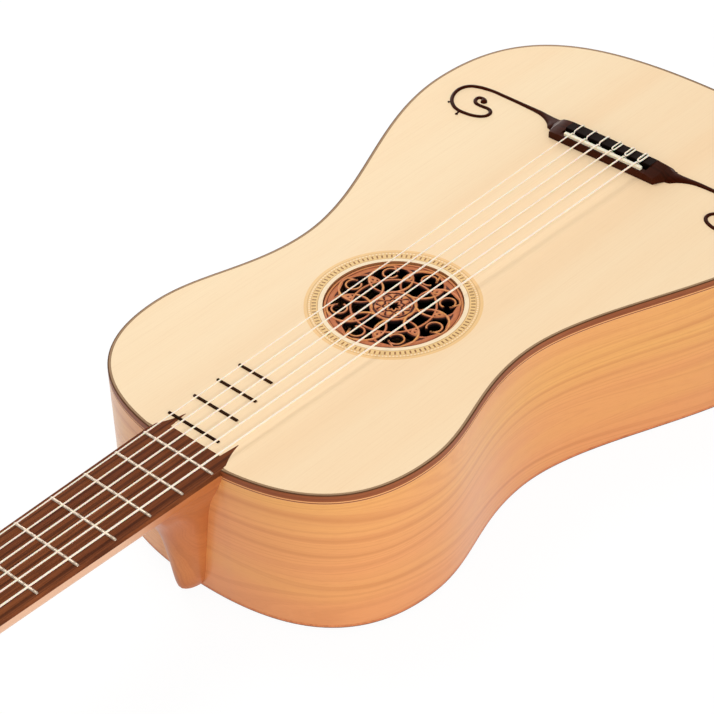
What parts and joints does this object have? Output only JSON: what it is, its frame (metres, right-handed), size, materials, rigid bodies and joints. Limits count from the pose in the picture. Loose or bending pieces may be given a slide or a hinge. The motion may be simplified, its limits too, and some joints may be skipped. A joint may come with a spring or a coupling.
{
  "type": "baroque guitar",
  "caption": "Small plucked guitar with a flat back, a carved rose, a tied bridge with scrolled ends and wooden tuning pegs.",
  "frame": {"origin": "on the outer face of the back, on the centre line, under the bridge end of the string length", "axes": "+X to the treble side, +Y to the head, +Z out of the soundboard; the guitar lies on its back"},
  "size_m": [0.281, 0.9531, 0.1078],
  "materials": {
    "soundboard": "satin spruce",
    "inside_spruce": "bare spruce",
    "rib_wood": "satin fruitwood",
    "neck_wood": "satin fruitwood",
    "board_wood": "oiled dark hardwood",
    "binding_wood": "satin brown hardwood",
    "ring_wood": "satin light hardwood",
    "rose_wood": "carved pear wood",
    "bridge_wood": "polished dark hardwood",
    "ebony": "polished ebony",
    "bone": "smooth bone",
    "fret_metal": "worn nickel brass",
    "string": "smooth gut or nylon"
  },
  "bodies": {
    "guitar": {"soundboard": "soundboard", "rosette_ring": "ring_wood", "rose": "rose_wood", "back": "rib_wood", "rib_treble": "rib_wood", "rib_bass": "rib_wood", "top_binding": "binding_wood", "top_lining_treble": "inside_spruce", "top_lining_bass": "inside_spruce", "back_lining_treble": "inside_spruce", "back_lining_bass": "inside_spruce", "neck_block": "inside_spruce", "tail_block": "inside_spruce", "top_bar_1": "inside_spruce", "top_bar_2": "inside_spruce", "back_bar_1": "inside_spruce", "back_bar_2": "inside_spruce", "back_bar_3": "inside_spruce", "back_strip": "inside_spruce", "neck": "neck_wood", "fingerboard": "board_wood", "nut": "bone", "bridge": "bridge_wood", "saddle": "bone", "moustache_treble": "bridge_wood", "moustache_bass": "bridge_wood", "headstock": "neck_wood", "head_veneer": "board_wood", "fret_1": "fret_metal", "fret_2": "fret_metal", "fret_3": "fret_metal", "fret_4": "fret_metal", "fret_5": "fret_metal", "fret_6": "fret_metal", "fret_7": "fret_metal", "fret_8": "fret_metal", "fret_9": "fret_metal", "fret_10": "fret_metal", "body_fret_11": "ebony", "body_fret_12": "ebony", "body_fret_13": "ebony", "body_fret_14": "ebony", "string_1": "string", "string_2": "string", "string_3": "string", "string_4": "string", "string_5": "string", "string_6": "string"},
    "peg_1_turner": {"peg_1": "ebony", "winding_1": "string"},
    "peg_2_turner": {"peg_2": "ebony", "winding_2": "string"},
    "peg_3_turner": {"peg_3": "ebony", "winding_3": "string"},
    "peg_4_turner": {"peg_4": "ebony", "winding_4": "string"},
    "peg_5_turner": {"peg_5": "ebony", "winding_5": "string"},
    "peg_6_turner": {"peg_6": "ebony", "winding_6": "string"}
  },
  "joints": [
    {"name": "peg_1_turn", "type": "hinge", "parent": "guitar", "child": "peg_1_turner", "pos_m": [0.02, 0.69956, 0.09024], "axis": [0, 0.1392, 0.9903], "continuous": true},
    {"name": "peg_2_turn", "type": "hinge", "parent": "guitar", "child": "peg_2_turner", "pos_m": [0.02, 0.74313, 0.08411], "axis": [0, 0.1392, 0.9903], "continuous": true},
    {"name": "peg_3_turn", "type": "hinge", "parent": "guitar", "child": "peg_3_turner", "pos_m": [0.02, 0.78671, 0.07799], "axis": [0, 0.1392, 0.9903], "continuous": true},
    {"name": "peg_4_turn", "type": "hinge", "parent": "guitar", "child": "peg_4_turner", "pos_m": [-0.02, 0.78671, 0.07799], "axis": [0, 0.1392, 0.9903], "continuous": true},
    {"name": "peg_5_turn", "type": "hinge", "parent": "guitar", "child": "peg_5_turner", "pos_m": [-0.02, 0.74313, 0.08411], "axis": [0, 0.1392, 0.9903], "continuous": true},
    {"name": "peg_6_turn", "type": "hinge", "parent": "guitar", "child": "peg_6_turner", "pos_m": [-0.02, 0.69956, 0.09024], "axis": [0, 0.1392, 0.9903], "continuous": true}
  ]
}
